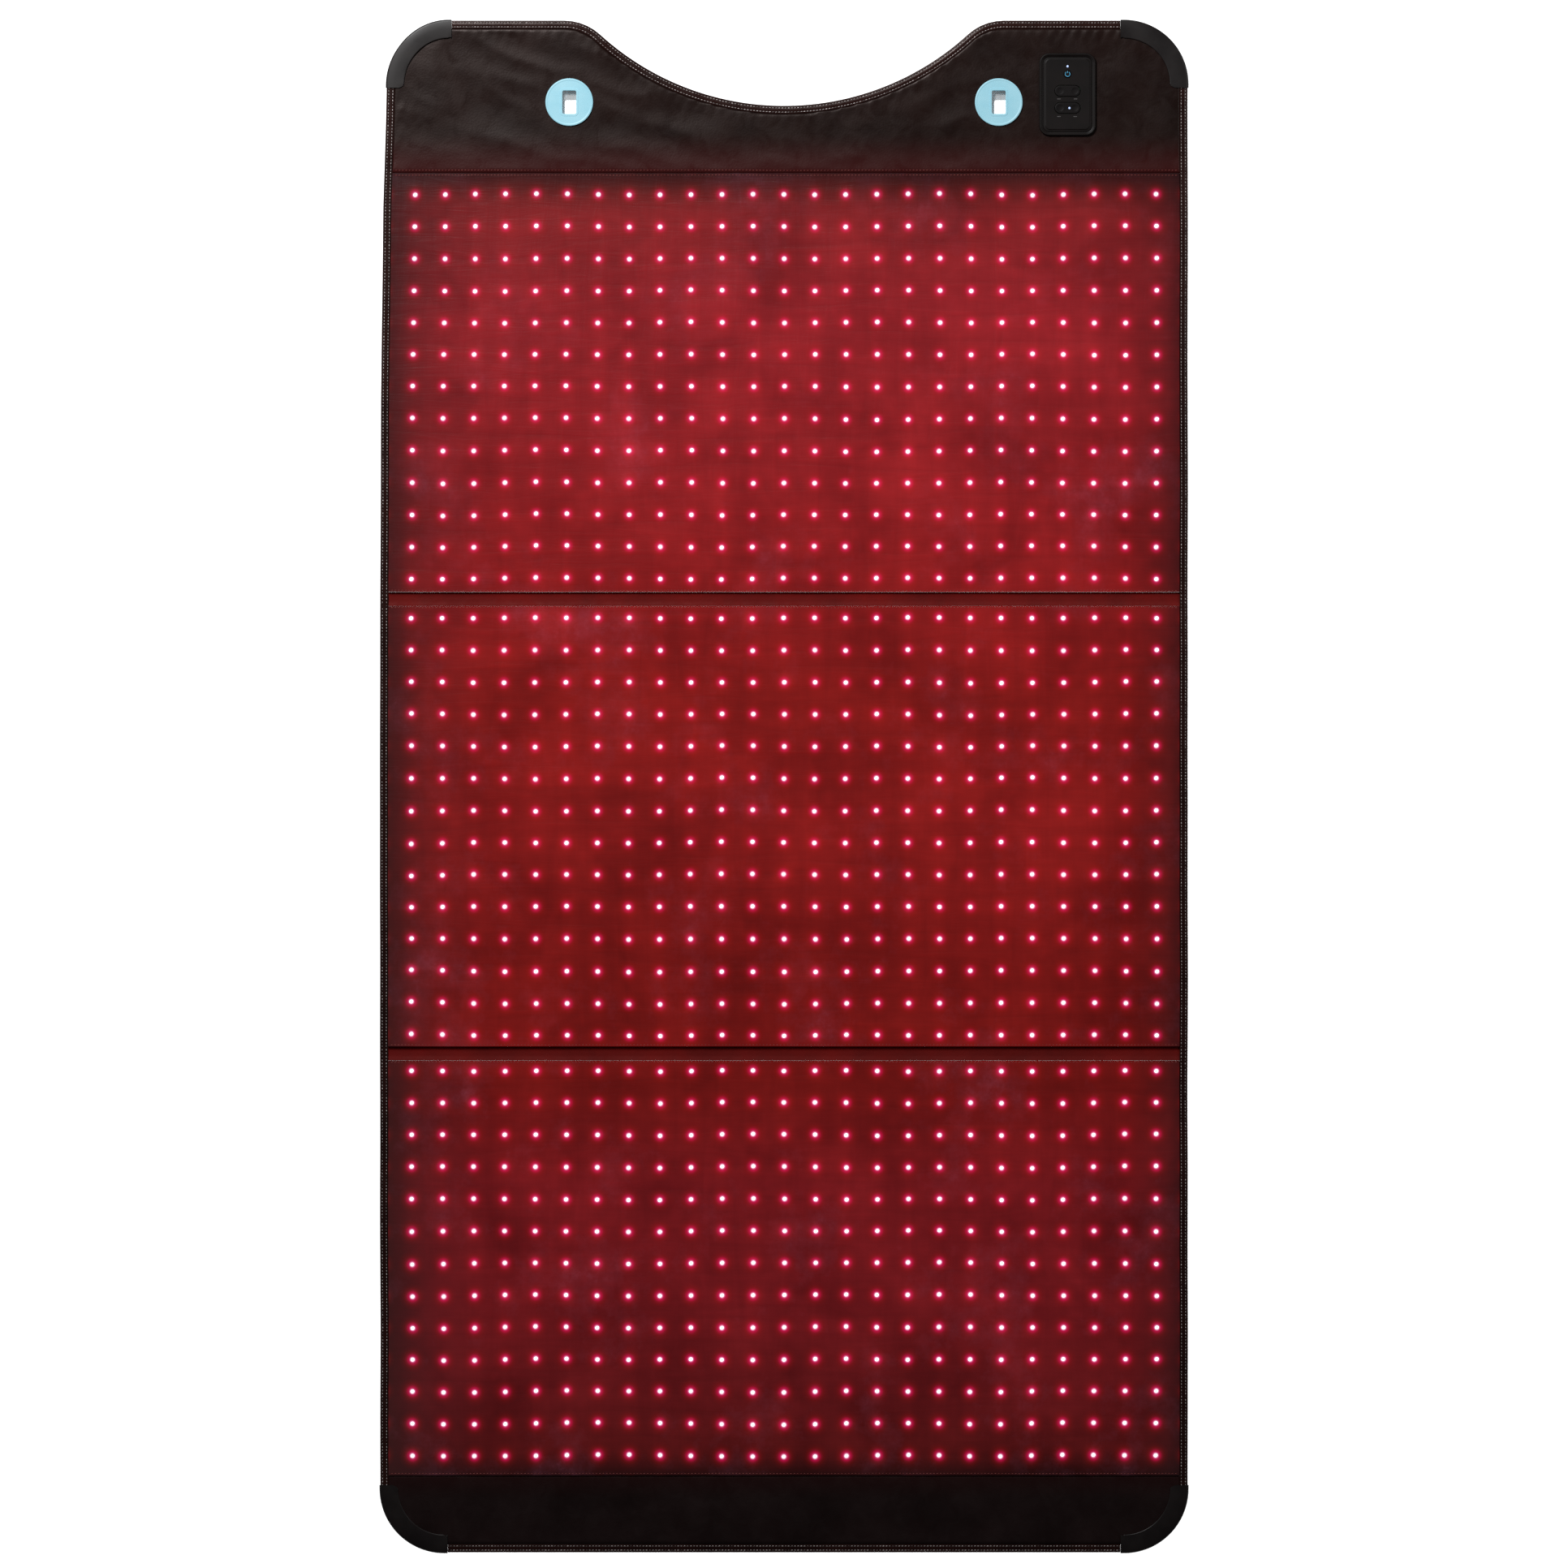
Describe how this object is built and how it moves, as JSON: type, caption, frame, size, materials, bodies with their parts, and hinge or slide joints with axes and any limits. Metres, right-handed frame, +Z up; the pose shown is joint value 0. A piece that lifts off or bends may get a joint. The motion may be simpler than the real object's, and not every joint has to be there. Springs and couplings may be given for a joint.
{
  "type": "infrared light therapy mat",
  "caption": "Flat folding red light mat: lit panels joined by fold strips, a head flap with neck cut-out, hanging eyelets and push-key controller, and a plain foot flap.",
  "frame": {"origin": "centre of the bounding box's underside, under the middle of the mat as it lies flat on its back", "axes": "+X towards the mat's right side as seen on its light face with the head end up, +Y along the length towards the head end, +Z up out of the light face"},
  "size_m": [0.95, 1.8, 0.0084],
  "materials": {
    "cover_leather": "semi-gloss polyurethane leather, dark brown-black, fine grain",
    "back_leather": "matte polyurethane leather, black",
    "binding_leather": "glossy polyurethane tape with a line of stitching",
    "strip_leather": "smooth polyurethane leather, lit deep red by the panels beside it",
    "core_felt": "needled insulating felt",
    "light_board_film": "amber flexible circuit film",
    "light_window_film": "semi-gloss translucent film, glowing red",
    "guard_plastic": "satin moulded black plastic",
    "eyelet_plastic": "satin moulded sky-blue plastic",
    "controller_plastic": "fine matt moulded black plastic",
    "key_rubber": "matt black silicone rubber",
    "circuit_laminate": "green glass-fibre laminate",
    "indicator_lens": "clear polycarbonate, lit pale blue",
    "screw_steel": "bright zinc",
    "cable_jacket": "matt black flat cable",
    "inlet_nickel": "satin nickel"
  },
  "bodies": {
    "middle_panel": {"lower_jumper_cable": "cable_jacket", "lower_strip_back": "back_leather", "lower_strip_front": "strip_leather", "middle_back_cover": "back_leather", "middle_binding_left": "binding_leather", "middle_binding_right": "binding_leather", "middle_core": "core_felt", "middle_light_board": "light_board_film", "middle_light_window": "light_window_film", "upper_jumper_cable": "cable_jacket", "upper_strip_back": "back_leather", "upper_strip_front": "strip_leather"},
    "upper_panel": {"upper_back_cover": "back_leather", "upper_binding_left": "binding_leather", "upper_binding_right": "binding_leather", "upper_core": "core_felt", "upper_light_board": "light_board_film", "upper_light_window": "light_window_film"},
    "lower_panel": {"lower_back_cover": "back_leather", "lower_binding_left": "binding_leather", "lower_binding_right": "binding_leather", "lower_core": "core_felt", "lower_light_board": "light_board_film", "lower_light_window": "light_window_film"},
    "head_flap": {"controller_back_shell": "controller_plastic", "controller_bezel": "controller_plastic", "controller_circuit": "circuit_laminate", "controller_face": "controller_plastic", "controller_screw_1": "screw_steel", "controller_screw_2": "screw_steel", "controller_screw_3": "screw_steel", "controller_screw_4": "screw_steel", "corner_guard_head_left": "guard_plastic", "corner_guard_head_right": "guard_plastic", "eyelet_back_left": "eyelet_plastic", "eyelet_back_right": "eyelet_plastic", "eyelet_front_left": "eyelet_plastic", "eyelet_front_right": "eyelet_plastic", "head_flap_back_cover": "back_leather", "head_flap_binding_left": "binding_leather", "head_flap_binding_neck": "binding_leather", "head_flap_binding_right": "binding_leather", "head_flap_core": "core_felt", "head_flap_front_cover": "cover_leather", "power_harness": "cable_jacket", "power_inlet": "inlet_nickel", "status_light_lens": "indicator_lens"},
    "foot_flap": {"corner_guard_foot_left": "guard_plastic", "corner_guard_foot_right": "guard_plastic", "foot_flap_back_cover": "back_leather", "foot_flap_binding_end": "binding_leather", "foot_flap_binding_left": "binding_leather", "foot_flap_binding_right": "binding_leather", "foot_flap_core": "core_felt", "foot_flap_front_cover": "cover_leather"},
    "power_button": {"power_button": "key_rubber"},
    "timer_rocker": {"timer_rocker": "key_rubber"},
    "mode_rocker": {"mode_light_lens": "indicator_lens", "mode_rocker": "key_rubber"}
  },
  "joints": [
    {"name": "lower_fold", "type": "hinge", "parent": "middle_panel", "child": "lower_panel", "pos_m": [0, -0.31335, 0.0067], "axis": [-1, 0, 0], "range_deg": [0, 180]},
    {"name": "upper_fold", "type": "hinge", "parent": "middle_panel", "child": "upper_panel", "pos_m": [0, 0.21995, -0.0003], "axis": [1, 0, 0], "range_deg": [-180, 0]},
    {"name": "head_flap_fold", "type": "hinge", "parent": "upper_panel", "child": "head_flap", "pos_m": [0, 0.72, 0.0082], "axis": [1, 0, 0], "range_deg": [0, 180]},
    {"name": "foot_flap_fold", "type": "hinge", "parent": "lower_panel", "child": "foot_flap", "pos_m": [0, -0.8086, -0.0003], "axis": [-1, 0, 0], "range_deg": [-180, 0]},
    {"name": "power_press", "type": "slide", "parent": "head_flap", "child": "power_button", "axis": [0, 0, -1], "range_m": [0, 0.0005], "stiffness_N_per_m": 1500},
    {"name": "timer_tilt", "type": "hinge", "parent": "head_flap", "child": "timer_rocker", "pos_m": [0.3327, 0.816, 0.0049], "axis": [0, 1, 0], "range_deg": [-3, 3], "stiffness_Nm_per_rad": 0.4},
    {"name": "mode_tilt", "type": "hinge", "parent": "head_flap", "child": "mode_rocker", "pos_m": [0.3327, 0.796, 0.0049], "axis": [0, 1, 0], "range_deg": [-3, 3], "stiffness_Nm_per_rad": 0.4}
  ]
}
